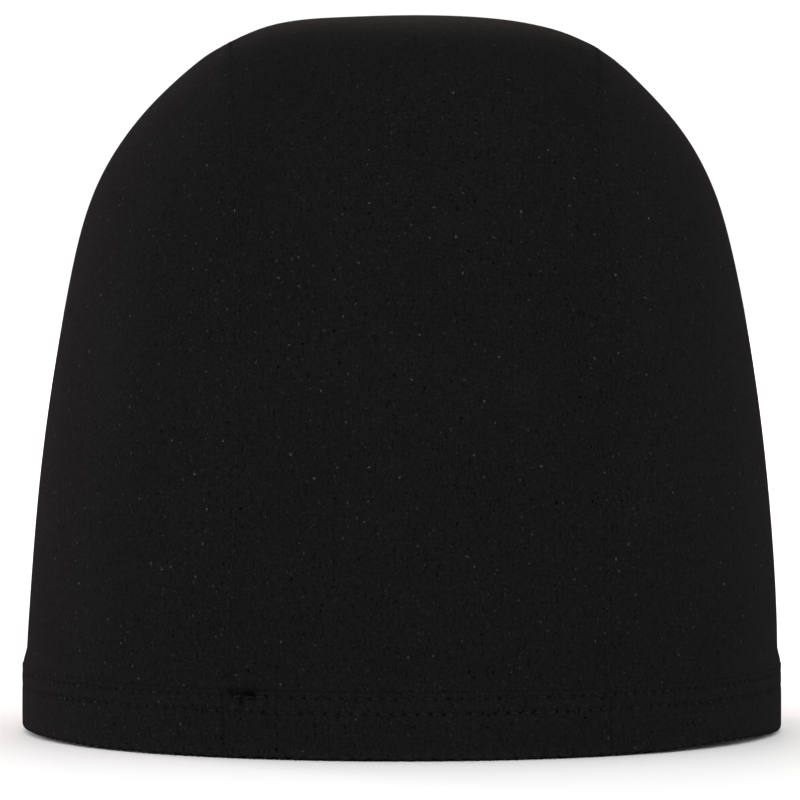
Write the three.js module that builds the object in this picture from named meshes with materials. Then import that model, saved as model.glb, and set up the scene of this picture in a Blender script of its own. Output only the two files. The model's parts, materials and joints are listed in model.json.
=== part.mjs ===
// Helmet liner cap: a close-fitting skull cap of stretch knit, standing on its rim.
// Three panels are seamed together and share one turned hem.
// Millimetres. +Z is up, the front of the cap faces -Y, and +X is to the right in a view of the front.
// The origin is the middle of the rim, on the surface that the cap stands on.
import * as THREE from 'three';

// Sizes of the whole cap, over the hem
const rimWidth = 164; // across the rim
const rimDepth = 196; // from the front of the rim to its back
const capHeight = 155; // from the rim to the top of the crown

// Cloth
const clothThickness = 1.2; // one layer of knit
const seamGap = 0.3; // clearance between neighbouring pieces

// Centre panel
const centreWidth = 80; // between its two seams
const centreShift = 3.6; // how far its middle lies to the right of the rim's middle

// Seams
const seamDip = 0.3; // how far a seam pulls the cloth in

// Hem
const hemDepth = 14.5; // height of the turned hem
const hemThickness = 2.4; // two layers of knit, pressed and stitched
const hemProud = 0.7; // how far the hem stands out from the panels
const hemRoll = 0.6; // radius of the folded edge

// Fineness of the faceted walls
const centreAcross = 10; // cells across the centre panel
const sideAround = 22; // cells of a side panel from front to back
const sideUp = 14; // cells of a side panel from the hem up to the shoulder of its seam
const alongSeam = sideAround + 2 * sideUp; // cells along a seam, which the two panels share
const hemAround = 72; // cells round the hem
const rollSteps = 3; // cells round each rolled corner of the hem
const tracePoints = 320; // points in the fine line that a seam is measured along
const halvings = 40; // steps in the search for a level

// Level sections of the cap, from the rim to the top of the crown. Height is a share of the cap's height.
// The half width and the shift to the right are shares of the panels' half width, and the half depth and the
// shift to the back are shares of their half depth. The seams are shares of half the centre panel's width.
const sectionColumns = ['height', 'halfWidth', 'halfDepth', 'right', 'back', 'seamLeft', 'seamRight'];
const sectionRows = [
  [0.0, 1.0, 1.0, 0.0, 0.0, 1.035, 1.01],
  [0.1, 1.0, 1.0, 0.0, 0.0, 1.03, 1.01],
  [0.22, 0.993, 0.998, 0.003, 0.006, 1.01, 1.015],
  [0.36, 0.969, 0.988, 0.004, 0.012, 0.975, 1.02],
  [0.5, 0.935, 0.965, 0.004, 0.018, 0.96, 1.02],
  [0.62, 0.895, 0.93, 0.005, 0.022, 0.96, 1.015],
  [0.73, 0.846, 0.875, 0.006, 0.022, 0.965, 1.0],
  [0.81, 0.774, 0.808, 0.008, 0.02, 0.985, 0.98],
  [0.87, 0.686, 0.73, 0.009, 0.018, 1.005, 0.97],
  [0.917, 0.595, 0.64, 0.012, 0.016, 1.015, 0.97],
  [0.951, 0.516, 0.552, 0.014, 0.014, 1.02, 0.97],
  [0.976, 0.418, 0.44, 0.014, 0.012, 1.02, 0.97],
  [0.993, 0.27, 0.275, 0.012, 0.012, 1.02, 0.97],
  [1.0, 0.0, 0.0, 0.012, 0.012, 1.02, 0.97],
];
const sections = sectionRows.map((row) => (
  Object.fromEntries(sectionColumns.map((column, index) => [column, row[index]]))
));

const panelHalfWidth = rimWidth / 2 - hemProud;
const panelHalfDepth = rimDepth / 2 - hemProud;
const panelFoot = hemDepth + seamGap; // the panels start this high, just above the hem

// The length that each column of the table is a share of
const columnUnit = {
  height: capHeight,
  halfWidth: panelHalfWidth,
  halfDepth: panelHalfDepth,
  right: panelHalfWidth,
  back: panelHalfDepth,
  seamLeft: centreWidth / 2,
  seamRight: centreWidth / 2,
};

// A smooth curve through four values in a row, at the share between the middle two
function smoothStep(before, from, to, after, share) {
  const slopeFrom = (to - before) / 2;
  const slopeTo = (after - from) / 2;
  const square = share * share;
  const cube = square * share;
  return from * (2 * cube - 3 * square + 1) + slopeFrom * (cube - 2 * square + share)
    + to * (3 * square - 2 * cube) + slopeTo * (cube - square);
}

// One column at a row that may lie past either end: straight on below the rim, mirrored over the crown's top
function tableValue(column, row) {
  if (row < 0) return 2 * sections[0][column] - sections[1][column];
  if (row < sections.length) return sections[row][column];
  const mirrored = sections[2 * sections.length - 2 - row][column];
  return column === 'halfWidth' || column === 'halfDepth' ? -mirrored : mirrored;
}

// The section at a level from 0 at the rim to 1 at the top of the crown, in millimetres
function sectionAt(level) {
  const place = level * (sections.length - 1);
  const row = Math.min(Math.floor(place), sections.length - 2);
  const section = {};
  for (const [column, unit] of Object.entries(columnUnit)) {
    const around = [-1, 0, 1, 2].map((step) => tableValue(column, row + step));
    section[column] = smoothStep(...around, place - row) * unit;
  }
  return section;
}

// The highest level between two at which a test still holds, where it holds from the lower one up
function highestLevel(low, high, holds) {
  let held = low;
  let failed = high;
  for (let halving = 0; halving < halvings; halving += 1) {
    const middle = (held + failed) / 2;
    if (holds(sectionAt(middle))) held = middle;
    else failed = middle;
  }
  return held;
}

// The level that lies at a height
function levelAt(height) {
  return highestLevel(0, 1, (section) => section.height < height);
}

// A place on the smooth form: its level, and the angle that it lies at, from +X towards the back
function placeAt(level, angle) {
  const section = sectionAt(level);
  const point = new THREE.Vector3(
    section.right + section.halfWidth * Math.cos(angle),
    section.back + section.halfDepth * Math.sin(angle),
    section.height,
  );
  return { level, angle, point };
}

// The outward direction of the smooth form at a place
function outwardAt({ level, angle }) {
  const step = 0.001;
  const section = sectionAt(level);
  const round = new THREE.Vector3(
    -section.halfWidth * Math.sin(angle),
    section.halfDepth * Math.cos(angle),
    0,
  );
  const above = placeAt(Math.min(level + step, 1), angle).point;
  const below = placeAt(Math.max(level - step, 0), angle).point;
  const outward = round.cross(above.sub(below));
  if (outward.length() < 1e-9) return new THREE.Vector3(0, 0, 1); // the very top of the crown
  return outward.normalize();
}

// A line over the cap from the front hem to the back hem, between the left seam at share 0 and the right
// seam at share 1, in alongSeam cells of equal length. Inset is how far inside the seams share 0 and 1 lie.
function lineOverCrown(share, inset) {
  const across = (section) => {
    const left = centreShift - section.seamLeft + inset;
    const right = centreShift + section.seamRight - inset;
    return THREE.MathUtils.lerp(left, right, share) - section.right;
  };
  const foot = levelAt(panelFoot);
  const ridge = highestLevel(foot, 1, (section) => Math.abs(across(section)) <= section.halfWidth);
  // A line left of the middle turns from the front to the back through the left, so its angles stay below 0
  const turn = across(sectionAt(ridge)) < 0 ? 2 * Math.PI : 0;
  const trace = [];
  for (let step = 0; step <= tracePoints; step += 1) {
    const swing = 2 * step / tracePoints - 1; // -1 at the front hem, 0 on the ridge and 1 at the back hem
    const level = foot + (ridge - foot) * (1 - swing * swing);
    const section = sectionAt(level);
    const angle = Math.acos(THREE.MathUtils.clamp(across(section) / section.halfWidth, -1, 1));
    trace.push(placeAt(level, swing < 0 ? -angle : angle - turn));
  }
  return evenlySpaced(trace, alongSeam);
}

// A traced line again, in count cells of equal length
function evenlySpaced(trace, count) {
  const lengths = [0];
  for (let step = 1; step < trace.length; step += 1) {
    lengths.push(lengths[step - 1] + trace[step].point.distanceTo(trace[step - 1].point));
  }
  const line = [];
  let next = 1;
  for (let cell = 0; cell <= count; cell += 1) {
    const target = lengths[trace.length - 1] * cell / count;
    while (next < trace.length - 1 && lengths[next] < target) next += 1;
    const part = (target - lengths[next - 1]) / (lengths[next] - lengths[next - 1]);
    line.push(blended(trace[next - 1], trace[next], part));
  }
  return line;
}

// The place at a share of the way from one place to another
function blended(from, to, share) {
  const level = THREE.MathUtils.lerp(from.level, to.level, share);
  const angle = THREE.MathUtils.lerp(from.angle, to.angle, share);
  return placeAt(level, angle);
}

// One closed sheet of cloth over a grid of places. Where onSeam holds, the cloth is pulled in.
function clothWall(grid, onSeam) {
  const rows = grid.length;
  const columns = grid[0].length;
  const layer = rows * columns;
  const outer = [];
  const inner = [];
  grid.forEach((line, row) => line.forEach((place, column) => {
    const outward = outwardAt(place);
    const dip = onSeam(row, column) ? seamDip : 0;
    outer.push(...place.point.clone().addScaledVector(outward, -dip));
    inner.push(...place.point.clone().addScaledVector(outward, -dip - clothThickness));
  }));
  const at = (row, column) => row * columns + column;
  const triangles = [];
  for (let row = 0; row < rows - 1; row += 1) {
    for (let column = 0; column < columns - 1; column += 1) {
      const [a, b] = [at(row, column), at(row + 1, column)];
      const [c, d] = [at(row + 1, column + 1), at(row, column + 1)];
      triangles.push(a, b, c, a, c, d);
      triangles.push(a + layer, c + layer, b + layer, a + layer, d + layer, c + layer);
    }
  }
  const edge = [];
  for (let row = 0; row < rows - 1; row += 1) edge.push(at(row, 0));
  for (let column = 0; column < columns - 1; column += 1) edge.push(at(rows - 1, column));
  for (let row = rows - 1; row > 0; row -= 1) edge.push(at(row, columns - 1));
  for (let column = columns - 1; column > 0; column -= 1) edge.push(at(0, column));
  edge.forEach((from, index) => {
    const to = edge[(index + 1) % edge.length];
    triangles.push(from, from + layer, to + layer, from, to + layer, to);
  });
  return solidFrom([...outer, ...inner], triangles);
}

function solidFrom(positions, triangles) {
  const geometry = new THREE.BufferGeometry();
  geometry.setAttribute('position', new THREE.Float32BufferAttribute(positions, 3));
  geometry.setIndex(triangles);
  geometry.computeVertexNormals();
  return geometry;
}

// The centre panel runs from the front hem over the crown to the back hem
function centrePanel() {
  const grid = [];
  for (let row = 0; row <= centreAcross; row += 1) {
    grid.push(lineOverCrown(row / centreAcross, seamGap / 2));
  }
  return clothWall(grid, (row) => row === 0 || row === centreAcross);
}

// A side panel fills the D between the hem and one seam. Side is 1 on the right and -1 on the left.
// Its grid has four edges: the hem, the seam's upright stretches at the front and back, and the seam's
// stretch over the crown between them.
function sidePanel(side) {
  const seam = lineOverCrown(side > 0 ? 1 : 0, -seamGap / 2);
  const front = seam.slice(0, sideUp + 1);
  const top = seam.slice(sideUp, sideUp + sideAround + 1);
  const back = seam.slice(sideUp + sideAround).reverse();
  const grid = [];
  for (let row = 0; row <= sideAround; row += 1) {
    const line = [];
    for (let column = 0; column <= sideUp; column += 1) {
      const around = row / sideAround;
      const up = column / sideUp;
      const patch = (key) => {
        const mix = THREE.MathUtils.lerp;
        const hem = mix(front[0][key], back[0][key], around);
        const shoulders = mix(top[0][key], top[sideAround][key], around);
        return mix(front[column][key], back[column][key], around)
          + mix(hem, top[row][key], up) - mix(hem, shoulders, up);
      };
      line.push(placeAt(patch('level'), patch('angle')));
    }
    grid.push(line);
  }
  if (side < 0) grid.reverse();
  return clothWall(grid, (row, column) => row === 0 || row === sideAround || column === sideUp);
}

// The hem's cross-section, from the middle of its inner face and round: out is measured from the panels'
// outer face, and up from the surface that the cap stands on
function hemOutline() {
  const outerFace = hemProud;
  const innerFace = hemProud - hemThickness;
  const corners = [
    { out: innerFace + hemRoll, up: hemRoll, from: Math.PI },
    { out: outerFace - hemRoll, up: hemRoll, from: 1.5 * Math.PI },
    { out: outerFace - hemRoll, up: hemDepth - hemRoll, from: 0 },
    { out: innerFace + hemRoll, up: hemDepth - hemRoll, from: 0.5 * Math.PI },
  ];
  const outline = [];
  for (const corner of corners) {
    for (let step = 0; step <= rollSteps; step += 1) {
      const angle = corner.from + Math.PI / 2 * step / rollSteps;
      outline.push({
        out: corner.out + hemRoll * Math.cos(angle),
        up: Math.max(0, corner.up + hemRoll * Math.sin(angle)),
      });
    }
  }
  return outline;
}

// The turned hem goes all the way round the rim
function hemBand() {
  const outline = hemOutline();
  const positions = [];
  const triangles = [];
  for (let step = 0; step < hemAround; step += 1) {
    const angle = 2 * Math.PI * step / hemAround;
    const outward = new THREE.Vector3(
      Math.cos(angle) / panelHalfWidth,
      Math.sin(angle) / panelHalfDepth,
      0,
    ).normalize();
    for (const { out, up } of outline) {
      const { point } = placeAt(levelAt(up), angle);
      point.addScaledVector(outward, out);
      positions.push(point.x, point.y, up);
    }
  }
  for (let step = 0; step < hemAround; step += 1) {
    const here = step * outline.length;
    const next = (step + 1) % hemAround * outline.length;
    for (let corner = 0; corner < outline.length; corner += 1) {
      const after = (corner + 1) % outline.length;
      triangles.push(here + corner, next + corner, next + after);
      triangles.push(here + corner, next + after, here + after);
    }
  }
  return solidFrom(positions, triangles);
}

const knit = { color: 0x171516, roughness: 0.95, metalness: 0 };

const pieces = {
  centre_panel: centrePanel(),
  side_panel_left: sidePanel(-1),
  side_panel_right: sidePanel(1),
  hem_band: hemBand(),
};

const cap = new THREE.Group();
for (const [name, geometry] of Object.entries(pieces)) {
  const piece = new THREE.Mesh(geometry, new THREE.MeshStandardMaterial(knit));
  piece.name = name;
  cap.add(piece);
}

export default cap;
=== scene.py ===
import json
import math

import bpy
import numpy as np
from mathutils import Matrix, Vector, noise
from mathutils.kdtree import KDTree

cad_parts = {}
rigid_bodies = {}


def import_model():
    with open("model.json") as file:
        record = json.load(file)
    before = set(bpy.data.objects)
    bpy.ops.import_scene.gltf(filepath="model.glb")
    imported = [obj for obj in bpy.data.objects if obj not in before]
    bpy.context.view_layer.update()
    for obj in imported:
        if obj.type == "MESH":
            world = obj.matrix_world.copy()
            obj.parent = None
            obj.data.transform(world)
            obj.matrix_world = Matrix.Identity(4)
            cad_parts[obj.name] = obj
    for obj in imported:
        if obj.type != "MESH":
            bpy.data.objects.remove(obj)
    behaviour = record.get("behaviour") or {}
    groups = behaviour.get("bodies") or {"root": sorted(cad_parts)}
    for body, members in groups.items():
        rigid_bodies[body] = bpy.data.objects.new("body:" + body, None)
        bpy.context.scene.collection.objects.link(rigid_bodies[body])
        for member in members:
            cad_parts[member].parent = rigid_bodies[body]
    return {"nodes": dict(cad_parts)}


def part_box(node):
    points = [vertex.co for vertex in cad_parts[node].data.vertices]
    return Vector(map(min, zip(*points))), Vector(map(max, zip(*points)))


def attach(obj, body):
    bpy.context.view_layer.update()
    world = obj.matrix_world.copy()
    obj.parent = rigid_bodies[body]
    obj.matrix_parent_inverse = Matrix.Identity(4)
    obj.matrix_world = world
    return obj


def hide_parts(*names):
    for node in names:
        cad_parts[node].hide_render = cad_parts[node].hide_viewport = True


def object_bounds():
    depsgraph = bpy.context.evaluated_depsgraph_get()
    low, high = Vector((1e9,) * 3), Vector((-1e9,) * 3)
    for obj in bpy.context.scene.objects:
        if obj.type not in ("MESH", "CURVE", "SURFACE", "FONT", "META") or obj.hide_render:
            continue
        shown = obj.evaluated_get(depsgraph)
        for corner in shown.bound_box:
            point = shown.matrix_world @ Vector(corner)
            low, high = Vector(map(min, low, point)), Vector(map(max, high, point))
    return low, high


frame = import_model()
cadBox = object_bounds()
nodes = frame["nodes"]
mm = 0.001

hemBox = [Vector(corner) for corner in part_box("hem_band")]
rimMiddle = (hemBox[0] + hemBox[1]) / 2
hemTop = hemBox[1].z
capTop = cadBox[1].z
print("frame loaded, cap", [round(v / mm, 1) for v in cadBox[1] - cadBox[0]], "mm")

# what all pieces of cloth share
cloth = {
    "thickness": 1.0 * mm,
    "walePitch": 0.56 * mm,     # width of one column of loops
    "coursePitch": 0.42 * mm,   # height of one loop
    "relief": 0.10 * mm,        # depth of the knit's grooves
    "sway": 0.35 * mm,          # slow unevenness of a worn, filled-out cap
    "swaySize": 38 * mm,
    "smoothAngle": 50,          # degrees; sharper edges stay sharp
    "seed": 11.3,
}


# small helpers

def onlySelect(piece):
    bpy.ops.object.select_all(action="DESELECT")
    piece.select_set(True)
    bpy.context.view_layer.objects.active = piece


def pick(piece, kind, wanted):
    # selects a piece's points, edges or faces by a test, and leaves it in edit mode
    onlySelect(piece)
    parts = {"VERT": piece.data.vertices, "EDGE": piece.data.edges, "FACE": piece.data.polygons}
    for items in parts.values():
        items.foreach_set("select", np.zeros(len(items), bool))
    parts[kind].foreach_set("select", np.array([wanted(item) for item in parts[kind]], bool))
    bpy.context.tool_settings.mesh_select_mode = [kind == name for name in parts]
    bpy.ops.object.mode_set(mode="EDIT")


def done():
    bpy.ops.object.mode_set(mode="OBJECT")


def cutEdges(piece, wanted, cuts):
    pick(piece, "EDGE", wanted)
    bpy.ops.mesh.subdivide(number_cuts=cuts)
    done()


def applied(piece, kind, **settings):
    onlySelect(piece)
    modifier = piece.modifiers.new(kind.title(), kind)
    for name, value in settings.items():
        setattr(modifier, name, value)
    bpy.ops.object.modifier_apply(modifier=modifier.name)


def valuesOf(items, name, width=3, kind=float):
    # one value of every item, as rows
    values = np.zeros(len(items) * width, kind)
    items.foreach_get(name, values)
    return values.reshape(-1, width)


def pointsOf(piece):
    return valuesOf(piece.data.vertices, "co")


def normalsOf(piece):
    return valuesOf(piece.data.vertex_normals, "vector", kind=np.float32).astype(float)


def setPoints(piece, points):
    piece.data.vertices.foreach_set("co", points.reshape(-1))
    piece.data.update()


def thicken(piece, **settings):
    # gives a sheet the cloth's thickness, inwards
    applied(piece, "SOLIDIFY", thickness=cloth["thickness"], offset=-1, use_rim=True, **settings)
    onlySelect(piece)
    bpy.ops.object.shade_smooth_by_angle(angle=math.radians(cloth["smoothAngle"]))


def unit(vectors):
    return vectors / np.maximum(np.linalg.norm(vectors, axis=-1, keepdims=True), 1e-12)


def treeOf(points):
    tree = KDTree(len(points))
    for index, point in enumerate(points):
        tree.insert(point, index)
    tree.balance()
    return tree


def lengthsAlong(points):
    # the length of a line up to each of its points
    return np.concatenate([[0], np.cumsum(np.linalg.norm(np.diff(points, axis=0), axis=1))])


def slowNoise(points, size, shift):
    # one smooth value from -1 to 1 for each point; every use has a shift of its own
    seed = cloth["seed"] + shift
    return np.array([noise.noise(Vector(p) / size + Vector((seed, seed * 2, -seed))) for p in points])


# the pinch at the left seam, where the hem's stitching starts and ends one row over the other

pinch = {
    "left": -37.2 * mm,
    "right": -30.8 * mm,
    "height": 13.8 * mm,
    "reach": 1.05 * mm,
    "depth": 0.8 * mm,
    "uneven": 1.5 * mm,       # size of its lumps
    "stemAt": -34.0 * mm,
    "stemFoot": 11.9 * mm,
    "stemReach": 0.55 * mm,
}


def pinchedShare(points):
    # 1 in the middle of the pinch, falling to 0 round it
    def within(values, low, high, reach):
        return np.exp(-(np.maximum(np.maximum(low - values, values - high), 0) / reach) ** 2)

    across, up, front = points[:, 0], points[:, 2], points[:, 1] < 0
    reach = pinch["reach"]
    bar = within(across, pinch["left"] + reach, pinch["right"] - reach, reach)
    bar *= within(up, pinch["height"], pinch["height"], reach)
    stem = within(across, pinch["stemAt"], pinch["stemAt"], pinch["stemReach"])
    stem *= within(up, pinch["stemFoot"], pinch["height"], reach)
    share = np.maximum(bar, 0.8 * stem) * front
    near = share > 0.01
    share[near] *= 0.75 + 0.7 * slowNoise(points[near], pinch["uneven"], 21)
    return np.clip(share, 0, 1)


def storeShare(piece, name, values):
    # keeps one value for each point on the piece, for its material
    layer = piece.data.attributes.new(name, "FLOAT", "POINT")
    layer.data.foreach_set("value", np.clip(values, 0, 1).astype(np.float32))


# the panels

panel = {
    "wallReach": 1.45 * mm,      # the solids' wall is thinner than this
    "heart": 0.35,               # height of the cap's heart, and of the middle that the seams run round,
    "turnsRound": 0.25,          # as shares of the cap's height
    "smoothing": 2,   # subdivision levels before the fine cuts
    "fineCuts": 2,
    "edgeCuts": 3,    # extra cuts across the cells beside a seam
    "edgeWidth": 4.2 * mm,
    "foldWidth": 0.42 * mm,      # half width of the rolled edge, across the seam
    "foldDepth": 1.06 * mm,      # half depth of the cloth turned in at the seam
    "foldGap": 0.18 * mm,        # the roll fills the solids' gap, up to the seam's middle
    "foldTurns": (22, 44, 66, 90, 135, 180),   # degrees round the roll, finer where it shows
    "allowance": 5.5 * mm,       # cloth turned in beyond the fold
    "easing": 9 * mm,            # how far from the seam the cloth gives way to the roll
    "stationStep": 0.1 * mm,     # how finely a seam's line is measured
    "grooveReach": 0.35 * mm,    # how far the seam's shade reaches into the panel
    "grooveShade": 0.06,
    "steadyReach": 4 * mm,       # faces this near a seam point settle which way its cloth faces
    "coarseReach": 13 * mm,      # the same before the net is fine
    "solidDip": 0.3 * mm,        # the solids dip this much at a seam
    "dipReach": 4.5 * mm,        # how far the dip is spread here
    "stitchPitch": 2.8 * mm,
    "pucker": 0.16 * mm,         # how deep each seam stitch pulls
    "puckerReach": 2.6 * mm,
    "gather": 0.22 * mm,         # slower waves along the seam
    "gatherSize": 7.5 * mm,
    "gatherReach": 8 * mm,
    "pebble": 0.13 * mm,         # small bumps where the seam's edges press through
    "pebbleSize": 2.2 * mm,
    "pebbleReach": 7 * mm,
    "slump": 0.45 * mm,          # the top of the crown settles this much
    "slumpPower": 20,            # the higher, the nearer to the top it stays
    "shoulderPower": 10,
    "calmHeight": 12 * mm,       # the hem holds the foot still up to here
    # the turned-in cloth lifts the shoulders of the crown: place across, reach and height, in mm
    "shoulders": ((-27, 10, 0.5), (42, 7, 0.6)),
    "flareHeight": 3.5 * mm,     # the cloth runs out over the top of the hem
    "footGap": 0.03 * mm,        # from the panel's lower edge to the hem
    "footReach": 0.5 * mm,       # an open edge this near to the lowest point is the foot
    "footHold": 3 * mm,          # the foot holds the seams' relief still up to here
    "allowanceDrop": 0.03 * mm,
    "weld": 0.01 * mm,
}


def outerSkin(nodeName, name):
    # the solid's outer face alone, as a net of four-sided cells
    onlySelect(nodes[nodeName])
    bpy.ops.object.duplicate()
    skin = bpy.context.object
    bpy.ops.object.parent_clear(type="CLEAR_KEEP_TRANSFORM")
    skin.name = name
    skin.data.name = name
    skin.data.materials.clear()
    bpy.ops.object.mode_set(mode="EDIT")
    bpy.ops.mesh.select_all(action="SELECT")
    bpy.ops.mesh.remove_doubles(threshold=panel["weld"])
    done()
    # each point has a partner through the wall, the near point most in line with the cap's heart
    points = pointsOf(skin)
    tree = treeOf(points)
    outwards = points - [0, 0, capTop * panel["heart"]]

    def isInner(vertex):
        steps = [Vector(hit[0]) - vertex.co for hit in tree.find_range(vertex.co, panel["wallReach"])]
        rises = [step.normalized().dot(outwards[vertex.index]) for step in steps]
        return max(rises, key=abs) > 0

    pick(skin, "VERT", isInner)
    bpy.ops.mesh.delete(type="VERT")
    bpy.ops.mesh.select_all(action="SELECT")
    bpy.ops.mesh.tris_convert_to_quads(face_threshold=math.pi, shape_threshold=math.pi)
    done()
    # only the corners at the foot stay corners when the net is smoothed
    seam, foot = rimOf(skin)
    corners = pointsIn(seam) & pointsIn(foot)
    crease = skin.data.attributes.new("crease_vert", "FLOAT", "POINT")
    for index in corners:
        crease.data[index].value = 1
    return skin


def overCrown(points):
    # how far round a point lies from the front hem over the crown to the back hem, as an angle
    angle = np.arctan2(points[:, 2] - capTop * panel["turnsRound"], -points[:, 1])
    return np.where(angle < -math.pi / 2, angle + 2 * math.pi, angle)


def layFlat(piece, upwards):
    # unwraps a panel into the shape that it was cut to, in metres, with its columns of loops upright
    pick(piece, "FACE", lambda face: True)
    bpy.ops.uv.unwrap(method="ANGLE_BASED", margin=0)
    done()
    mesh = piece.data
    layer = mesh.uv_layers[0]
    layer.name = "flatCut"
    flat = valuesOf(layer.uv, "vector", width=2)
    corner = valuesOf(mesh.loops, "vertex_index", 1, int)[:, 0]
    flatArea = 0
    for face in mesh.polygons:
        ring = flat[list(face.loop_indices)]
        following = np.roll(ring, -1, axis=0)
        flatArea += abs((ring[:, 0] * following[:, 1] - ring[:, 1] * following[:, 0]).sum()) / 2
    scale = math.sqrt(sum(face.area for face in mesh.polygons) / flatArea)
    flat -= flat.mean(axis=0)
    up = upwards(pointsOf(piece))[corner]
    rise = ((up - up.mean())[:, None] * flat).sum(axis=0)
    rise /= np.linalg.norm(rise)
    turned = np.stack([flat @ [rise[1], -rise[0]], flat @ rise], axis=1) * scale
    layer.uv.foreach_set("vector", turned.reshape(-1))
    return turned.max(axis=0) - turned.min(axis=0)


def refine(piece, finer):
    # smooths the net of cells, then cuts it finer where the seams need it, and puts it back on the form
    onlySelect(piece)
    bpy.ops.object.duplicate()
    form = bpy.context.object
    for net, levels in ((form, 4), (piece, panel["smoothing"])):
        applied(net, "SUBSURF", levels=levels, render_levels=levels, boundary_smooth="ALL")
    piece.data.attributes.remove(piece.data.attributes["crease_vert"])
    finer(piece)
    applied(piece, "SHRINKWRAP", target=form, wrap_method="NEAREST_SURFACEPOINT")
    bpy.data.objects.remove(form)


def rimOf(piece):
    # the points of the open edge, those on the seams and those along the foot
    uses = {}
    for face in piece.data.polygons:
        for key in face.edge_keys:
            uses[key] = uses.get(key, 0) + 1
    edges = [key for key, count in uses.items() if count == 1]
    heights = pointsOf(piece)[:, 2]
    footHeight = heights.min() + panel["footReach"]
    seam = [key for key in edges if heights[list(key)].max() > footHeight]
    foot = [key for key in edges if heights[list(key)].max() <= footHeight]
    return seam, foot


def seamLines(piece, seam, count):
    # each seam as its points in order from the front hem to the back hem, with the length up to each
    points = pointsOf(piece)
    used = np.array(sorted(pointsIn(seam)))
    middle = (points[used, 0].max() + points[used, 0].min()) / 2
    groups = [used] if count == 1 else [used[points[used, 0] < middle], used[points[used, 0] >= middle]]
    lines = []
    for group in groups:
        order = group[np.argsort(overCrown(points[group]))]
        lines.append((order, lengthsAlong(points[order])))
    return lines


def pointsIn(keys):
    return {index for key in keys for index in key}


def allOf(lines):
    return np.concatenate([order for order, _ in lines])


def steadyNormals(piece, seamPoints, reach):
    # which way the cloth faces at each seam point, from all the faces near it
    faces = piece.data.polygons
    tree = treeOf([face.center for face in faces])
    points, normals = pointsOf(piece), normalsOf(piece)
    for index in seamPoints:
        near = tree.find_range(points[index], reach)
        normals[index] = sum((faces[hit[1]].normal * faces[hit[1]].area for hit in near), Vector())
    return unit(normals)


def raiseSeam(piece):
    # takes the solid's dip out of the coarse net; the fine one gets its own
    seam, _ = rimOf(piece)
    onSeam = sorted(pointsIn(seam))
    points = pointsOf(piece)
    points[onSeam] += steadyNormals(piece, onSeam, panel["coarseReach"])[onSeam] * panel["solidDip"]
    setPoints(piece, points)


def outOverSeam(piece, lines):
    # at each point of a seam, the way off the panel's edge, across the seam
    points = pointsOf(piece)
    normals = steadyNormals(piece, allOf(lines), panel["steadyReach"])
    way = np.zeros_like(points)
    ends = np.array([edge.vertices[:] for edge in piece.data.edges])
    for order, _ in lines:
        side = unit(np.cross(unit(np.gradient(points[order], axis=0)), normals[order]))
        way[order] = side
        onSeam = np.zeros(len(points), bool)
        onSeam[order] = True
        leaving = ends[onSeam[ends[:, 0]] & ~onSeam[ends[:, 1]]]
        arriving = ends[~onSeam[ends[:, 0]] & onSeam[ends[:, 1]]][:, ::-1]
        inward = np.concatenate([leaving, arriving])
        agreement = (way[inward[:, 0]] * (points[inward[:, 0]] - points[inward[:, 1]])).sum()
        way[order] = side * np.sign(agreement)
    return way


def seamField(piece, lines, way):
    # for each point of a panel: the distance to the nearest seam, the length along it, and the way over it
    points = pointsOf(piece)
    stations = []
    for order, lengths in lines:
        fine = np.arange(0, lengths[-1], panel["stationStep"])
        columns = [*points[order].T, *way[order].T]
        stations.append(np.stack([np.interp(fine, lengths, each) for each in columns] + [fine], axis=1))
    stations = np.concatenate(stations)
    tree = treeOf(stations[:, :3])
    found = [tree.find(point) for point in points]
    distance = np.array([hit[2] for hit in found])
    nearest = stations[[hit[1] for hit in found]]
    return distance, nearest[:, 6], unit(nearest[:, 3:6])


def foldIn(piece, lines, way):
    # turns the cloth in at the seams: round the rolled edge and back under the panel
    path = []
    for degrees in panel["foldTurns"]:
        turn = math.radians(degrees)
        path.append((panel["foldWidth"] * math.sin(turn), -panel["foldDepth"] * (1 - math.cos(turn))))
    path.append((-panel["allowance"], -2 * panel["foldDepth"] - panel["allowanceDrop"]))
    start = pointsOf(piece)
    normals = steadyNormals(piece, allOf(lines), panel["steadyReach"])
    onSeam = {index for order, _ in lines for index in order}
    source = {index: index for index in onSeam}
    current = set(onSeam)
    for across, inwards in path:
        before = len(piece.data.vertices)
        pick(piece, "EDGE", lambda edge: current.issuperset(edge.vertices))
        bpy.ops.mesh.extrude_edges_move(MESH_OT_extrude_edges_indiv={},
                                        TRANSFORM_OT_translate={"value": (0, 0, 0)})
        done()
        grown = {}
        for edge in piece.data.edges:
            low, high = sorted(edge.vertices)
            if low < before <= high and low in source:
                grown[high] = source[low]
        points = pointsOf(piece)
        for index, root in grown.items():
            points[index] = start[root] + way[root] * across + normals[root] * inwards
        setPoints(piece, points)
        source.update(grown)
        current = set(grown)
    return normals


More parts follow.
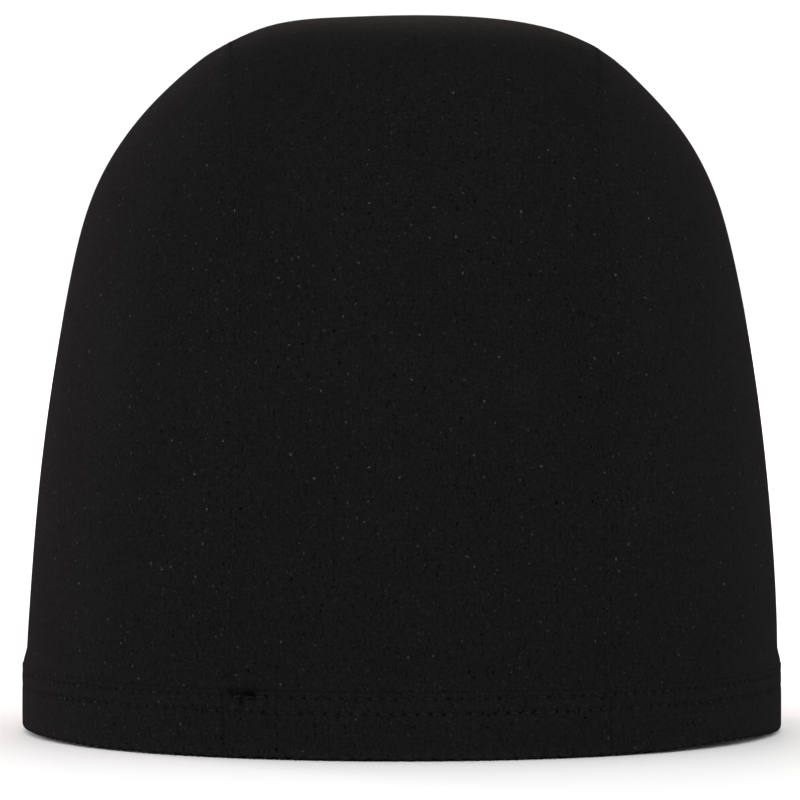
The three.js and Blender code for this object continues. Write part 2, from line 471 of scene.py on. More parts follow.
def makePanel(nodeName, seams, upwards, finer):
    name = nodeName + "_knit"
    piece = outerSkin(nodeName, name)
    raiseSeam(piece)
    cutSize = layFlat(piece, upwards)
    refine(piece, finer)
    seam, _ = rimOf(piece)
    lines = seamLines(piece, seam, seams)
    way = outOverSeam(piece, lines)
    distance, along, over = seamField(piece, lines, way)
    points, normals = pointsOf(piece), normalsOf(piece)

    # the cloth gives way to the roll at its edge
    onSeam = allOf(lines)
    distance[onSeam] = 0
    over[onSeam] = way[onSeam]
    give = (panel["foldWidth"] - panel["foldGap"]) * np.clip(1 - distance / panel["easing"], 0, 1) ** 2
    points -= over * give[:, None]

    # stitches pull the seam in, with slower waves between them, and the whole panel sways a little
    stitch = 0.5 + 0.5 * np.cos(2 * math.pi * along / panel["stitchPitch"])
    uneven = 0.75 + 0.5 * slowNoise(points, panel["gatherSize"] * 1.7, 0)
    pull = panel["pucker"] * stitch * uneven * np.exp(-distance / panel["puckerReach"])
    pull += panel["solidDip"] * np.exp(-(distance / panel["dipReach"]) ** 2)
    waves = slowNoise(points, panel["gatherSize"], 5)
    pull += panel["gather"] * (0.5 + waves) * np.exp(-distance / panel["gatherReach"])
    pebbles = slowNoise(points, panel["pebbleSize"], 13)
    pull -= panel["pebble"] * pebbles * np.exp(-(distance / panel["pebbleReach"]) ** 2)
    sway = slowNoise(points, cloth["swaySize"], 9)
    height = points[:, 2] - points[:, 2].min()
    calm = np.clip(height / panel["calmHeight"], 0, 1)
    pull *= np.clip(height / panel["footHold"], 0, 1)
    points += normals * (cloth["sway"] * sway * calm - pull)[:, None]
    high = np.clip(points[:, 2] / capTop, 0, 1)
    points[:, 2] -= panel["slump"] * high ** panel["slumpPower"]
    for place, reach, lift in panel["shoulders"]:
        bulge = np.exp(-((points[:, 0] / mm - place) / reach) ** 2)
        points[:, 2] += lift * mm * bulge * high ** panel["shoulderPower"]

    # the foot runs out flush with the hem, and down to it
    flare = np.clip(1 - height / panel["flareHeight"], 0, 1)
    flare = flare * flare * (3 - 2 * flare)
    outward = unit(normals * [1, 1, 0])
    points += outward * (hem["proud"] * flare)[:, None]
    drop = points[:, 2].min() - hemTop - panel["footGap"]
    points[:, 2] -= drop * flare
    pinched = pinchedShare(points)
    points -= outward * (pinch["depth"] * pinched)[:, None]
    setPoints(piece, points)
    # painted shade along the seam's groove, deepest at each stitch, and in the pinch
    groove = np.exp(-(distance / panel["grooveReach"]) ** 2) * (0.55 + 0.45 * stitch)
    storeShare(piece, "pressShade", np.maximum(panel["grooveShade"] * groove, pinched))

    facing = foldIn(piece, lines, way)
    thicken(piece, use_even_offset=False)
    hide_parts(nodeName)
    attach(piece, "root")
    print(name, "cut", [round(float(v) / mm) for v in cutSize], "mm,", len(piece.data.polygons), "faces")
    tip = panel["foldWidth"] + panel["footGap"]
    middles = [(points[order] + way[order] * tip, facing[order]) for order, _ in lines]
    return piece, cutSize, middles


def finerCentre(piece):
    # along the seams everywhere, and across only beside them
    vertices = piece.data.vertices

    def runsAcross(edge):
        step = vertices[edge.vertices[0]].co - vertices[edge.vertices[1]].co
        return abs(step.x) > 0.7 * step.length

    cutEdges(piece, lambda edge: not runsAcross(edge), panel["fineCuts"])
    vertices = piece.data.vertices
    seam, _ = rimOf(piece)
    lines = seamLines(piece, seam, 2)
    distance, _, _ = seamField(piece, lines, outOverSeam(piece, lines))

    def besideSeam(edge):
        return runsAcross(edge) and min(distance[i] for i in edge.vertices) < panel["edgeWidth"] / 2

    cutEdges(piece, besideSeam, panel["edgeCuts"])


def finerSide(piece):
    cutEdges(piece, lambda edge: True, panel["fineCuts"])


# the hem

hem = {
    "proud": 0.7 * mm,             # the hem stands out from the panels
    "around": 1015,   # cells round the rim, the same number to each stitch
    # heights of the outer layer's rows of cells in mm, closer together at the stitching
    "rowHeights": (14.5, 14.1, 13.8, 13.5, 13.2, 12.9, 12.5, 12.0, 11.4, 10.9, 10.5, 10.2, 9.9, 9.6,
                   9.2, 8.6, 7.6, 6.4, 5.0, 3.8, 2.8, 1.9),
    "foldSteps": 7,
    "foldRadius": 1.10 * mm,
    "innerRows": 7,
    "innerTop": 13.9 * mm,         # the raw edge inside
    "needleRows": (13.2 * mm, 10.0 * mm),
    "stitchPitch": 2.8 * mm,
    "dimple": 0.28 * mm,
    "dimpleHeight": 0.62 * mm,
    "rowPhase": 0.33,              # how far the lower row's stitches are shifted, in stitches
    "needleHole": 0.34 * mm,
    "paintedLightReach": 1.6 * mm,         # how far up the painted light at the lowest edge reaches, against the shade where the fold meets the floor
    "puff": 0.10 * mm,             # slow unevenness between the stitches
    "puffSize": 9 * mm,
    "topHold": 1.5 * mm,           # the top edge stays still, and the relief grows over this
    "scallopPitch": 3.5 * mm,
    "scallop": 0.17 * mm,
    "scallopHeight": 4 * mm,       # how far up they reach
    "scallopWaver": 11 * mm,       # size of the stretches with deeper and shallower ones
    "seamDepth": 0.20 * mm,        # the panels' seams run on down through the hem
    "seamReach": 0.42 * mm,
    "seamCuts": 3,                 # extra cells beside each of those seams
    "seamCutReach": 2.2 * mm,
    # where the soft edge stands off the floor: middle and width in degrees round the rim, and height
    "lifts": ((-28, 20, 1.0 * mm), (-172, 28, 0.7 * mm), (64, 24, 0.5 * mm), (128, 18, 0.3 * mm)),
}


# the rim is an oval; lengths along it start at the left-hand side and run round by the front
rimAcross, rimAlong = (hemBox[1].x - hemBox[0].x) / 2, (hemBox[1].y - hemBox[0].y) / 2
rimTurns = np.linspace(-math.pi, math.pi, 2001)
rimOval = np.stack([rimAcross * np.cos(rimTurns), rimAlong * np.sin(rimTurns)], axis=1)
rimLengths = lengthsAlong(rimOval)
rimLength = rimLengths[-1]
stitchCount = round(rimLength / hem["stitchPitch"])
rimPitch = rimLength / stitchCount
upright = np.array([0.0, 0.0, 1.0])


def fromRimMiddle(points):
    return (points - [rimMiddle.x, rimMiddle.y, 0]) * [1, 1, 0]


def rimTurn(points):
    flat = fromRimMiddle(points)
    return np.arctan2(flat[:, 1] / rimAlong, flat[:, 0] / rimAcross)


def aroundRim(points):
    # the length round the rim at each point
    return np.interp(rimTurn(points), rimTurns, rimLengths)


def rimPlace(length, height, inwards=0.0):
    # a place on the rim: its point, and the directions along the rim and out
    turn = np.interp(length % rimLength, rimLengths, rimTurns)
    along = unit(np.array([-rimAcross * math.sin(turn), rimAlong * math.cos(turn), 0]))
    outward = np.array([along[1], -along[0], 0])
    point = np.array([rimMiddle.x + rimAcross * math.cos(turn),
                      rimMiddle.y + rimAlong * math.sin(turn), height])
    return point - outward * inwards, along, outward


def makeHem(seamEnds):
    bpy.ops.object.select_all(action="DESELECT")
    bpy.ops.mesh.primitive_circle_add(vertices=hem["around"], radius=rimAcross, fill_type="NOTHING")
    piece = bpy.context.object
    piece.name = "hem_band_knit"
    piece.data.name = piece.name
    setPoints(piece, np.array([rimPlace(rimLength * i / hem["around"], hemTop)[0]
                               for i in range(hem["around"])]))

    # finer cells where the panels' seams run down through the hem
    seams = aroundRim(np.array(seamEnds))

    def seamDistance(lengths):
        apart = np.abs(lengths[:, None] - seams[None, :])
        return np.minimum(apart, rimLength - apart).min(axis=1)

    away = seamDistance(aroundRim(pointsOf(piece)))
    cutEdges(piece, lambda edge: min(away[i] for i in edge.vertices) < hem["seamCutReach"],
             hem["seamCuts"])
    ringCount = len(piece.data.vertices)

    # down the outer layer, round the fold and up the inner layer: how far in, and how high
    radius = hem["foldRadius"]
    path = [(0, hemTop)] + [(0, height * mm) for height in hem["rowHeights"][1:]] + [(0, radius)]
    for step in range(1, hem["foldSteps"] + 1):
        angle = math.pi * step / hem["foldSteps"]
        path.append((radius * (1 - math.cos(angle)), radius * (1 - math.sin(angle))))
    for row in range(1, hem["innerRows"] + 1):
        path.append((2 * radius, radius + (hem["innerTop"] - radius) * row / hem["innerRows"]))
    bpy.ops.object.mode_set(mode="EDIT")
    bpy.ops.mesh.select_all(action="SELECT")
    for (inBefore, upBefore), (inNow, upNow) in zip(path, path[1:]):
        bpy.ops.mesh.extrude_region_move(TRANSFORM_OT_translate={"value": (0, 0, upNow - upBefore)})
        if inNow != inBefore:
            grow = [(half - inNow) / (half - inBefore) for half in (rimAcross, rimAlong)]
            bpy.ops.transform.resize(value=(*grow, 1), center_override=(rimMiddle.x, rimMiddle.y, 0))
    bpy.ops.mesh.select_all(action="SELECT")
    bpy.ops.mesh.normals_make_consistent(inside=False)
    done()

    # the flat cut: round the rim, and from the outer top edge over the fold to the raw edge
    points = pointsOf(piece)
    around = aroundRim(points)
    climb = lengthsAlong(path)
    row = np.arange(len(points)) // ringCount
    layer = piece.data.uv_layers.new(name="flatCut")
    for face in piece.data.polygons:
        ring = list(face.loop_indices)
        corners = [piece.data.loops[i].vertex_index for i in ring]
        lengths = around[corners]
        if lengths.max() - lengths.min() > rimLength / 2:
            lengths = np.where(lengths < rimLength / 2, lengths + rimLength, lengths)
        for i, length, corner in zip(ring, lengths, corners):
            layer.uv[i].vector = (length, -climb[row[corner]])

    # the outer layer must face out before it gets its thickness
    normals = normalsOf(piece)
    outer = np.array([step[0] for step in path])[row] < radius
    if (normals[outer] * fromRimMiddle(points[outer])).sum() < 0:
        pick(piece, "FACE", lambda face: True)
        bpy.ops.mesh.flip_normals()
        done()
        normals = normalsOf(piece)

    # needle rows press the cloth in, and so do the panels' seams, which run on down to the edge
    turn = around / rimLength * 2 * math.pi
    depth = np.zeros(len(points))
    for order, height in enumerate(hem["needleRows"]):
        press = np.exp(-((points[:, 2] - height) / hem["dimpleHeight"]) ** 2)
        phase = turn * stitchCount + order * hem["rowPhase"] * 2 * math.pi
        depth += hem["dimple"] * press * (0.6 + 0.4 * np.cos(phase))
    groove = np.exp(-(seamDistance(around) / hem["seamReach"]) ** 2)
    depth += hem["seamDepth"] * groove
    # painted shade in the needle rows' dimples and the seams' grooves, and in the pinch below
    pressShade = np.maximum(0.42 * depth / (hem["dimple"] + hem["seamDepth"]), groove * 0.22)
    puff = slowNoise(points, hem["puffSize"], 3) * hem["puff"]
    calmTop = np.clip((hemTop - points[:, 2]) / hem["topHold"], 0, 1)
    points += normals * ((puff - depth) * calmTop)[:, None]
    pinched = pinchedShare(points)
    points -= unit(fromRimMiddle(points)) * (pinch["depth"] * pinched)[:, None]

    # the edge is finely scalloped, and stands off the floor a little here and there
    scallops = round(rimLength / hem["scallopPitch"])
    nearEdge = np.clip(1 - points[:, 2] / hem["scallopHeight"], 0, 1) ** 2
    wobble = 1 + 0.5 * slowNoise(points, hem["scallopWaver"], 7)
    lift = hem["scallop"] * (1 - np.cos(turn * scallops)) * nearEdge * wobble
    points -= unit(fromRimMiddle(points)) * (0.6 * lift)[:, None]
    points[:, 2] += lift
    rising = np.clip(1 - points[:, 2] / hem["needleRows"][1], 0, 1)
    degrees = np.degrees(rimTurn(points))
    for middle, width, height in hem["lifts"]:
        apart = (degrees - middle + 180) % 360 - 180
        points[:, 2] += height * np.exp(-(apart / width) ** 2) * rising
    points[:, 2] -= points[:, 2].min()
    setPoints(piece, points)
    storeShare(piece, "pressShade", np.maximum(pressShade, pinched))
    # painted light on the lowest edge of the fold, against its shade near the floor
    storeShare(piece, "paintedLight", np.exp(-(points[:, 2] / hem["paintedLightReach"]) ** 2))
    stripMiddle = np.mean([end[0] for end in seamEnds])
    stripHalf = np.ptp([end[0] for end in seamEnds]) / 2
    storeShare(piece, "sideCloth", (np.abs(points[:, 0] - stripMiddle) > stripHalf).astype(float))

    thicken(piece)
    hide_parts("hem_band")
    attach(piece, "root")
    print("hem_band_knit", round(rimLength / mm), "mm round,", len(piece.data.polygons), "faces")
    return piece, (rimLength, climb[-1])


# colours and knit

def group(name, inputs, outputs):
    tree = bpy.data.node_groups.new(name, "ShaderNodeTree")
    for side, sockets in (("INPUT", inputs), ("OUTPUT", outputs)):
        for label, kind in sockets:
            tree.interface.new_socket(name=label, in_out=side, socket_type="NodeSocket" + kind)
    return tree, tree.nodes.new("NodeGroupInput").outputs, tree.nodes.new("NodeGroupOutput").inputs


def feed(socket, value):
    # gives a socket a plain value or another node's output
    if isinstance(value, bpy.types.NodeSocket):
        socket.id_data.links.new(value, socket)
    else:
        socket.default_value = value


def added(tree, kind, given=None, **settings):
    # a new node's outputs; it gets its settings, then what its inputs are given
    node = tree.nodes.new("ShaderNode" + kind)
    for name, value in settings.items():
        setattr(node, name, value)
    for label, value in (given or {}).items():
        feed(node.inputs[label], value)
    return node.outputs


def maths(operation, *values, kind="Math", **settings):
    # at least one of the values is another node's output, and the new node goes beside it
    tree = next(value.id_data for value in values if isinstance(value, bpy.types.NodeSocket))
    return added(tree, kind, dict(enumerate(values)), operation=operation, **settings)[0]


def knitGroup():
    # columns of V-shaped loops: each column has two legs, and the loops lean up and out along them
    tree, given, out = group("knitFace", [("Flat", "Vector"), ("Wale", "Float"), ("Course", "Float")],
                             [("Height", "Float"), ("Groove", "Float")])
    split = added(tree, "SeparateXYZ", {0: given["Flat"]})
    column = maths("DIVIDE", split["X"], given["Wale"])
    course = maths("DIVIDE", split["Y"], given["Course"])
    within = maths("ABSOLUTE", maths("SUBTRACT", maths("FRACT", column), 0.5))
    leg = maths("MULTIPLY", maths("SUBTRACT", within, 0.25), 4.0)
    ridge = maths("SUBTRACT", 1.0, maths("MULTIPLY", leg, leg), use_clamp=True)
    lean = maths("MULTIPLY_ADD", within, 1.7, course)
    loop = maths("SINE", maths("MULTIPLY", maths("FRACT", lean), math.pi))
    height = maths("MULTIPLY", ridge, maths("MULTIPLY_ADD", loop, 0.45, 0.55))
    feed(out["Height"], height)
    feed(out["Groove"], maths("SUBTRACT", 1.0, height))
    return tree


def lintGroup():
    # scattered specks: a few cells of a coarse pattern hold one, each of its own size and strength
    tree, given, out = group("lintSpecks", [("Place", "Vector"), ("Spacing", "Float"), ("Size", "Float"),
                                            ("Share", "Float")], [("Mask", "Float")])
    scale = maths("DIVIDE", 1.0, given["Spacing"])
    cells = added(tree, "TexVoronoi", {"Vector": given["Place"], "Scale": scale}, feature="F1")
    chance = added(tree, "SeparateColor", {0: cells["Color"]})
    chosen = maths("LESS_THAN", chance["Red"], given["Share"])
    size = maths("DIVIDE", given["Size"], given["Spacing"])
    size = maths("MULTIPLY", size, maths("MULTIPLY_ADD", chance["Green"], 0.9, 0.4))
    near = maths("SUBTRACT", 1.0, maths("DIVIDE", cells["Distance"], size), use_clamp=True)
    near = maths("MULTIPLY", near, 2.2, use_clamp=True)
    strength = maths("MULTIPLY_ADD", chance["Blue"], 0.7, 0.3)
    feed(out["Mask"], maths("MULTIPLY", maths("MULTIPLY", near, chosen), strength))
    return tree


def needleGroup():
    # painted shade in the needle's holes in the two rows of the hem's stitching, some pulled tighter than
    # others
    tree, given, out = group("needleHoleShade", [("Flat", "Vector")], [("Mask", "Float")])
    split = added(tree, "SeparateXYZ", {0: given["Flat"]})
    rows = []
    for order, height in enumerate(hem["needleRows"]):
        count = maths("MULTIPLY_ADD", split["X"], 1 / rimPitch, 0.5 + order * hem["rowPhase"])
        which = maths("ADD", maths("FLOOR", count), order * 500.0)
        tension = added(tree, "TexWhiteNoise", {"W": which}, noise_dimensions="1D")["Value"]
        along = maths("SUBTRACT", maths("FRACT", count), 0.5)
        along = maths("MULTIPLY", along, rimPitch / hem["needleHole"] / 1.25)
        up = maths("DIVIDE", maths("ADD", split["Y"], hemTop - height), hem["needleHole"])
        apart = maths("MULTIPLY_ADD", along, along, maths("MULTIPLY", up, up))
        hole = maths("MULTIPLY", maths("SUBTRACT", 1.0, apart, use_clamp=True), 1.8, use_clamp=True)
        strength = maths("MULTIPLY_ADD", tension, 0.75, 0.05)
        rows.append(maths("MULTIPLY", hole, strength))
    feed(out["Mask"], maths("MAXIMUM", *rows))
    return tree


knit = knitGroup()
lint = lintGroup()
needleHoleShade = needleGroup()

finishes = {
    "centre": {"base": (0.0040,) * 3, "raised": (0.0119,) * 3, "lint": 0.8},
    # painted sheen: the side panels' cloth is a shade lighter and warmer than the centre's, for loops that
    # run the other way
    "side": {"base": (0.0041, 0.0040, 0.0040), "raised": (0.0124, 0.0122, 0.0122), "lint": 1.0},
    "sheen": 0.008,
    "sheenRoughness": 0.14,
    "sheenTint": (1.0, 0.55, 0.60),
    "specular": 0.002,
    "brushed": 0.6,
    "grain": 1.0,                        # contrast of the fine uneven fibre
    "speck": (0.021, 0.0205, 0.0205),    # small tufts of fibre that stand up
    "fluff": (0.070, 0.068, 0.066),      # rarer and brighter lint
    # the dark of the cloth's few pits, and of the painted shade in grooves, the pinch and needle holes
    "pitAndShade": (0.0010,) * 3,
    # painted light: the colour that lightens the hem against the shade near the floor
    "paintedLight": (0.022,) * 3,
    "hemPaintedLight": 0.13,                     # painted light: the whole hem is this much lighter against the shade near the floor, and its lowest edge fully
    "ragged": 0.9 * mm,                  # how far the specks' outlines stray
    # scale and detail of each noise
    "waverNoise": (160, 2),
    "napNoise": (1900, 3),
    "driftNoise": (42, 4),
    "strayNoise": (2600, 1),
    # spacing, size, share of the places that hold one, and a shift that sets each kind apart
    "tufts": (1.15 * mm, 0.33 * mm, 0.55, 0.0),
    "fluffs": (2.3 * mm, 0.28 * mm, 0.6, 0.7),
    "pits": (1.3 * mm, 0.31 * mm, 0.45, 1.3),
}


def mixed(share, first, second):
    # one colour into another by a share; each may be a plain colour or an output
    first, second = [(*each, 1) if isinstance(each, tuple) else each for each in (first, second)]
    given = {"Factor": share, "A": first, "B": second}
    return added(share.id_data, "Mix", given, data_type="RGBA")["Result"]


def noiseOf(vector, scale, detail):
    given = {"Vector": vector, "Scale": scale, "Detail": detail}
    return added(vector.id_data, "TexNoise", given)


def specksOf(place, spacing, size, share, shift):
    # one layer of scattered specks
    moved = maths("ADD", place, (shift, shift * 0.6, -shift), kind="VectorMath")
    given = {"Place": moved, "Spacing": spacing, "Size": size, "Share": share}
    return added(place.id_data, "Group", given, node_tree=lint)["Mask"]


def attributeOf(tree, name):
    return added(tree, "Attribute", attribute_name=name)["Fac"]


def principled(name, given):
    # a new material, its nodes, and its shader with the values that are the same all over
    material = bpy.data.materials.new(name)
    material.use_nodes = True
    shader = material.node_tree.nodes["Principled BSDF"].inputs
    for label, value in given.items():
        shader[label].default_value = value
    return material, material.node_tree, shader


def clothMaterial(name, looks):
    # looks is one finish, or two that the hem changes between where the panels' seams cross it
    given = {"Sheen Weight": finishes["sheen"], "Sheen Roughness": finishes["sheenRoughness"],
             "Sheen Tint": (*finishes["sheenTint"], 1), "Specular IOR Level": finishes["specular"]}
    material, tree, shader = principled(name, given)
    flat = added(tree, "UVMap", uv_map="flatCut")[0]
    place = added(tree, "TexCoord")["Object"]

    # the cloth's own plane, wavering a little so that no column of loops is ruler straight
    waver = noiseOf(flat, *finishes["waverNoise"])["Color"]
    plane = maths("MULTIPLY_ADD", waver, (0.5 * mm, 0.5 * mm, 0), flat, kind="VectorMath")
    given = {"Flat": plane, "Wale": cloth["walePitch"], "Course": cloth["coursePitch"]}
    loops = added(tree, "Group", given, node_tree=knit)

    # brushed nap: fine uneven fibre over the loops, in drifts; slack columns show as short dark dashes
    nap = noiseOf(place, *finishes["napNoise"])["Fac"]
    drift = noiseOf(place, *finishes["driftNoise"])["Fac"]
    wales = 1 / cloth["walePitch"]
    stretched = maths("MULTIPLY", plane, (wales, wales / 5, 1), kind="VectorMath")
    dashes = noiseOf(stretched, 1.0, 1)["Fac"]
    slack = maths("MULTIPLY", maths("SUBTRACT", dashes, 0.60), 6.0, use_clamp=True)

    # raised fibre catches the light, grooves stay dark
    grain = maths("MULTIPLY_ADD", maths("SUBTRACT", nap, 0.5), 2 * finishes["grain"], 0.5)
    raised = maths("MULTIPLY_ADD", loops["Height"], 0.45, grain)
    raised = maths("MULTIPLY", raised, maths("MULTIPLY_ADD", drift, 0.3, 0.65))
    raised = maths("SUBTRACT", raised, maths("MULTIPLY", slack, 0.5), use_clamp=True)
    base, top, fuzz = looks[0]["base"], looks[0]["raised"], looks[0]["lint"]
    if len(looks) > 1:
        side = attributeOf(tree, "sideCloth")
        base = mixed(side, base, looks[1]["base"])
        top = mixed(side, top, looks[1]["raised"])
        # painted light: the whole hem a little lighter, and its lowest edge fully, against the shade near the
        # floor
        paintedLight = attributeOf(tree, "paintedLight")
        paintedLight = maths("MULTIPLY_ADD", paintedLight, 1 - finishes["hemPaintedLight"], finishes["hemPaintedLight"])
        top = mixed(paintedLight, top, finishes["paintedLight"])
        fuzz = maths("MULTIPLY_ADD", side, looks[1]["lint"] - fuzz, fuzz)
    colour = mixed(raised, base, top)

    # tufts and lint, a few dark pits, and painted shade where stitches press the cloth in and in the needle's
    # holes
    stray = noiseOf(place, *finishes["strayNoise"])["Color"]
    ragged = maths("MULTIPLY_ADD", stray, (finishes["ragged"],) * 3, place, kind="VectorMath")
    tufts, fluffs, pits = [specksOf(ragged, *finishes[kind]) for kind in ("tufts", "fluffs", "pits")]
    colour = mixed(maths("MULTIPLY", tufts, fuzz), colour, finishes["speck"])
    colour = mixed(maths("MULTIPLY", fluffs, fuzz), colour, finishes["fluff"])
    colour = mixed(pits, colour, finishes["pitAndShade"])
    pressShade = attributeOf(tree, "pressShade")
    colour = mixed(maths("MULTIPLY", pressShade, 0.85), colour, finishes["pitAndShade"])
    if len(looks) > 1:
        # painted shade in the needle's holes, half as strong on the side panels' part of the hem
        holeShade = added(tree, "Group", {"Flat": flat}, node_tree=needleHoleShade)["Mask"]
        shown = maths("MULTIPLY", holeShade, maths("MULTIPLY_ADD", side, -0.5, 1.0))
        colour = mixed(shown, colour, finishes["pitAndShade"])
    feed(shader["Base Color"], colour)

    rough = maths("MULTIPLY_ADD", nap, 0.16, 0.80)
    feed(shader["Roughness"], maths("MULTIPLY_ADD", loops["Groove"], 0.05, rough))
    relief = maths("MULTIPLY_ADD", nap, finishes["brushed"], loops["Height"])
    relief = maths("SUBTRACT", relief, maths("MULTIPLY", pits, 0.6))
    relief = maths("MULTIPLY_ADD", tufts, 0.8, relief)
    bump = added(tree, "Bump", {"Strength": 0.8, "Distance": cloth["relief"], "Height": relief})
    feed(shader["Normal"], bump[0])
    return material


def threadMaterial(name, shade, gloss):
    material, tree, shader = principled(name, {"Specular IOR Level": gloss})
    place = added(tree, "TexCoord")["Object"]
    twist = added(tree, "TexWave", {"Vector": place, "Scale": 1100, "Distortion": 1.5},
                  wave_type="BANDS", bands_direction="DIAGONAL")["Fac"]
    # painted shade: the thread is darker in the grooves between its twisted plies
    colour = mixed(twist, (shade * 0.4,) * 3, (shade, shade * 0.97, shade * 0.97))
    feed(shader["Base Color"], colour)
    feed(shader["Roughness"], maths("MULTIPLY_ADD", twist, -0.15, 0.7))
    bump = added(tree, "Bump", {"Distance": 0.05 * mm, "Height": twist})
    feed(shader["Normal"], bump[0])
    return material


# stitches

stitch = {
    "length": 2.15 * mm,
    "thickness": 0.27 * mm,
    "seamThickness": 0.56 * mm,
    "seamSink": 0.22 * mm,
    "seamDive": 0.08 * mm,
    "sink": 0.02 * mm,       # how far the thread's middle lies below the cloth round it
    "dive": 0.30 * mm,       # and its ends go down into it
    "tension": 0.22 * mm,    # some are pulled in this much deeper
    "sideTension": 0.16 * mm,
    "stray": 0.05,           # of a stitch, along the row
    "waver": 0.07 * mm,      # and across it
    "looperRise": 0.06 * mm,
    "looperDive": 0.12 * mm,
}


def oneStitch(length, thickness, dive):
    # a short length of thread, thick in the middle, whose ends go down into the cloth
    bpy.ops.object.select_all(action="DESELECT")
    bpy.ops.mesh.primitive_uv_sphere_add(segments=8, ring_count=8, radius=0.5,
                                         rotation=(0, math.pi / 2, 0))
    piece = bpy.context.object
    bpy.ops.object.transform_apply(location=True, rotation=True, scale=True)
    points = pointsOf(piece)
    points[:, 0] = np.sign(points[:, 0]) * np.abs(points[:, 0] * 2) ** 0.8 / 2
    points = points * [length, thickness, thickness * 0.8]
    points[:, 2] -= dive * (2 * points[:, 0] / length) ** 4
    setPoints(piece, points)
    return piece


def copiesAt(pattern, name, places):
    # one mesh with a copy of the pattern at each place, given as its middle and its three directions
    shape = pointsOf(pattern)
    faces = [list(face.vertices) for face in pattern.data.polygons]
    points, polygons = [], []
    for middle, along, across, outward in places:
        base = len(points) * len(shape)
        points.append(middle + shape[:, :1] * along + shape[:, 1:2] * across + shape[:, 2:] * outward)
        polygons += [[base + i for i in face] for face in faces]
    mesh = bpy.data.meshes.new(name)
    mesh.from_pydata(np.concatenate(points).tolist(), [], polygons)
    piece = bpy.data.objects.new(name, mesh)
    bpy.context.collection.objects.link(piece)
    bpy.data.objects.remove(pattern)
    onlySelect(piece)
    bpy.ops.object.shade_smooth()
    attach(piece, "root")
    return piece


def needleStitches():
    uneven = np.random.default_rng(7)
    places = []
    for order, height in enumerate(hem["needleRows"]):
        for index in range(stitchCount):
            # a stitch spans the crest between two of its row's holes
            length = (index + 0.5 - order * hem["rowPhase"] + stitch["stray"] * uneven.normal()) * rimPitch
            sink = stitch["sink"] + stitch["tension"] * uneven.random() ** 2
            sink += stitch["sideTension"] * abs(math.cos(np.interp(length % rimLength, rimLengths, rimTurns)))
            point, along, outward = rimPlace(length, height + stitch["waver"] * uneven.normal(), sink)
            lean = 0.08 * uneven.normal()
            stretch = 0.8 + 0.3 * uneven.random()
            places.append((point, (along + upright * lean) * stretch, upright - along * lean, outward))
    pattern = oneStitch(stitch["length"], stitch["thickness"], stitch["dive"])
    return copiesAt(pattern, "hem_needle_stitches", places)


def looperThread():
    # inside, the looper thread crosses from one needle row to the other and back
    upper, lower = hem["needleRows"]
    inwards = 2 * hem["foldRadius"] + stitch["looperRise"]
    places = []
    for index in range(stitchCount):
        for half in range(2):
            length = (index + 0.25 + 0.5 * half) * rimPitch
            point, along, outward = rimPlace(length, (upper + lower) / 2, inwards)
            leg = unit(along * rimPitch / 2 + upright * (upper - lower) * (1 if half else -1))
            places.append((point, leg, np.cross(-outward, leg), -outward))
    span = math.hypot(upper - lower, rimPitch / 2)
    pattern = oneStitch(span * 1.06, stitch["thickness"] * 1.1, stitch["looperDive"])
    return copiesAt(pattern, "hem_looper_thread", places)


def seamStitches(middles):
    # the joining stitches lie in the groove between two panels and all but fill it
    places = []
    for line, facing in middles:
        lengths = lengthsAlong(line)
        count = round(lengths[-1] / panel["stitchPitch"])
        pitch = lengths[-1] / count

        def on(values, at):
            return np.array([np.interp(at, lengths, each) for each in values.T])

        for index in range(count):
            middle = (index + 0.5) * pitch
            along = unit(on(line, middle + pitch / 4) - on(line, middle - pitch / 4))
            outward = unit(on(facing, middle))
            across = unit(np.cross(outward, along))
            along = unit(along + across * 0.03 * (-1) ** index)
            places.append((on(line, middle) - outward * stitch["seamSink"], along, across, outward))
    pattern = oneStitch(panel["stitchPitch"] * 1.08, stitch["seamThickness"], stitch["seamDive"])
    return copiesAt(pattern, "seam_stitches", places)


# the joining tack where the hem's stitching starts and ends, at the left seam
tack = {
    "x": -34.2 * mm,
    "width": 5.6 * mm,
    "height": 13.5 * mm,
    "rows": 3,
    "steps": 3,
    "rowPitch": 0.42 * mm,
    "stagger": 0.5 * mm,     # every other row starts this much further on
    "tail": 2.6 * mm,
    "tailPitch": 0.35 * mm,
    "sink": 0.78 * mm,
}


def joiningTack():
    places = []

    def atX(x, height, lean):
        length = np.interp(-math.acos((x - rimMiddle.x) / rimAcross), rimTurns, rimLengths)
        point, along, outward = rimPlace(length, height, tack["sink"])
        leaned = along * math.cos(lean) + upright * math.sin(lean)
        return point, leaned, np.cross(outward, leaned), outward

    for row in range(tack["rows"]):
        for step in range(tack["steps"]):
            x = tack["x"] + (step - (tack["steps"] - 1) / 2) * tack["width"] / tack["steps"]
            x += (row % 2) * tack["stagger"]
            height = tack["height"] + (row - (tack["rows"] - 1) / 2) * tack["rowPitch"]
            places.append(atX(x, height, 0.05 * (-1) ** row))
    for step in range(2):
        places.append(atX(pinch["stemAt"] + step * tack["tailPitch"], tack["height"] - tack["tail"] * 0.5,
                          math.pi / 2 - 0.12))
    pattern = oneStitch(stitch["length"], stitch["thickness"], stitch["dive"])
    return copiesAt(pattern, "hem_joining_tack", places)


# build

centre, centreCut, seamMiddles = makePanel("centre_panel", 2, overCrown, finerCentre)
left, leftCut, _ = makePanel("side_panel_left", 1, lambda points: points[:, 2], finerSide)
right, rightCut, _ = makePanel("side_panel_right", 1, lambda points: points[:, 2], finerSide)
band, bandCut = makeHem([line[i] for line, _ in seamMiddles for i in (0, -1)])
needles = needleStitches()
looper = looperThread()
joining = joiningTack()
seamThreads = seamStitches(seamMiddles)
print("stitches made")

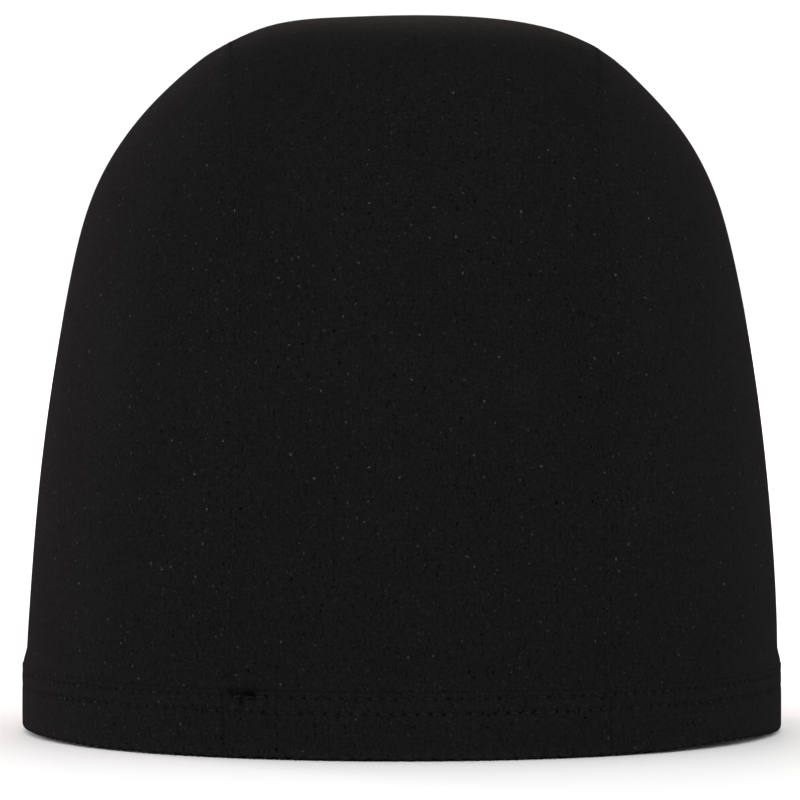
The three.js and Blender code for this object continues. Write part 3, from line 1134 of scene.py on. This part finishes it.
centreKnit = clothMaterial("centre_knit", [finishes["centre"]])
sideKnit = clothMaterial("side_knit", [finishes["side"]])
hemKnit = clothMaterial("hem_knit", [finishes["centre"], finishes["side"]])
thread = threadMaterial("sewing_thread", 0.018, 0.04)
seamThread = threadMaterial("seam_thread", 0.017, 0.0)
# the tack's thread is painted darker: painted shade where it sinks deep into the pinch
shadedTackThread = threadMaterial("shaded_tack_thread", 0.004, 0.02)
dressing = (
    (centre, centreKnit, "centre_knit"), (left, sideKnit, "side_knit"), (right, sideKnit, "side_knit"),
    (band, hemKnit, "hem_knit"), (needles, thread, "hem_knit"), (looper, thread, "hem_knit"),
    (joining, shadedTackThread, "hem_knit"), (seamThreads, seamThread, "centre_knit"),
)
for piece, material, slotName in dressing:
    piece.data.materials.clear()
    piece.data.materials.append(material)
print("materials set")

# floor, light and camera

studio = {
    "floor": 40.0,          # metres across
    "floorDrop": 0.05 * mm,
    "floorColour": 0.93,
    "sky": 1.14,
    "distance": 4.0,
    "elevation": 2.95,      # degrees above the horizon, seen from the middle of the cap
    "framePixels": 800,
    "pixelsWide": 759,      # the rim's width in that frame
    "sensor": 36,           # mm
    "aimRight": -0.4 * mm,
    "aimUp": 71.4 * mm,
}

bpy.ops.object.select_all(action="DESELECT")
bpy.ops.mesh.primitive_plane_add(size=studio["floor"], location=(0, 0, -studio["floorDrop"]))
floor = bpy.context.object
floor.name = "studio_floor"
pale = {"Base Color": (*[studio["floorColour"]] * 3, 1), "Roughness": 0.9, "Specular IOR Level": 0.1}
floorMaterial, _, _ = principled("pale_floor", pale)
floor.data.materials.append(floorMaterial)

world = bpy.data.worlds.new("studio")
bpy.context.scene.world = world
world.use_nodes = True
sky = world.node_tree.nodes["Background"].inputs
sky["Color"].default_value = (1, 1, 1, 1)
sky["Strength"].default_value = studio["sky"]

lamps = [
    # name, place, size, watts, colour
    ("topRim", (0.0, 1.8, 0.55), 0.5, 8.0, (1.0, 0.84, 0.72)),
    ("leftSide", (-1.5, -0.6, 0.6), 1.1, 0.8, (1, 1, 1)),
    ("leftRim", (-1.0, 1.3, 0.26), 0.4, 13.0, (1.0, 0.78, 0.80)),
    ("rightRim", (0.75, 1.5, 0.26), 0.4, 2.0, (1.0, 0.84, 0.84)),
]
for name, place, size, watts, colour in lamps:
    lamp = bpy.data.lights.new(name, "AREA")
    lamp.color = colour
    lamp.size = size
    lamp.energy = watts
    holder = bpy.data.objects.new(name, lamp)
    bpy.context.collection.objects.link(holder)
    holder.location = place
    holder.rotation_euler = (Vector((0, 0, 0.08)) - Vector(place)).to_track_quat("-Z", "Y").to_euler()
    holder.visible_camera = False

camera = bpy.data.objects.new("camera", bpy.data.cameras.new("camera"))
bpy.context.collection.objects.link(camera)
bpy.context.scene.camera = camera
rise = math.radians(studio["elevation"])
aim = Vector((studio["aimRight"], 0, studio["aimUp"]))
camera.location = aim + Vector((0, -math.cos(rise), math.sin(rise))) * studio["distance"]
camera.rotation_euler = (math.pi / 2 - rise, 0, 0)
across = 2 * rimAcross * studio["framePixels"] / studio["pixelsWide"]
camera.data.sensor_width = studio["sensor"]
camera.data.lens = studio["sensor"] * studio["distance"] / across
bpy.context.scene.view_settings.view_transform = "Standard"
print("studio ready")
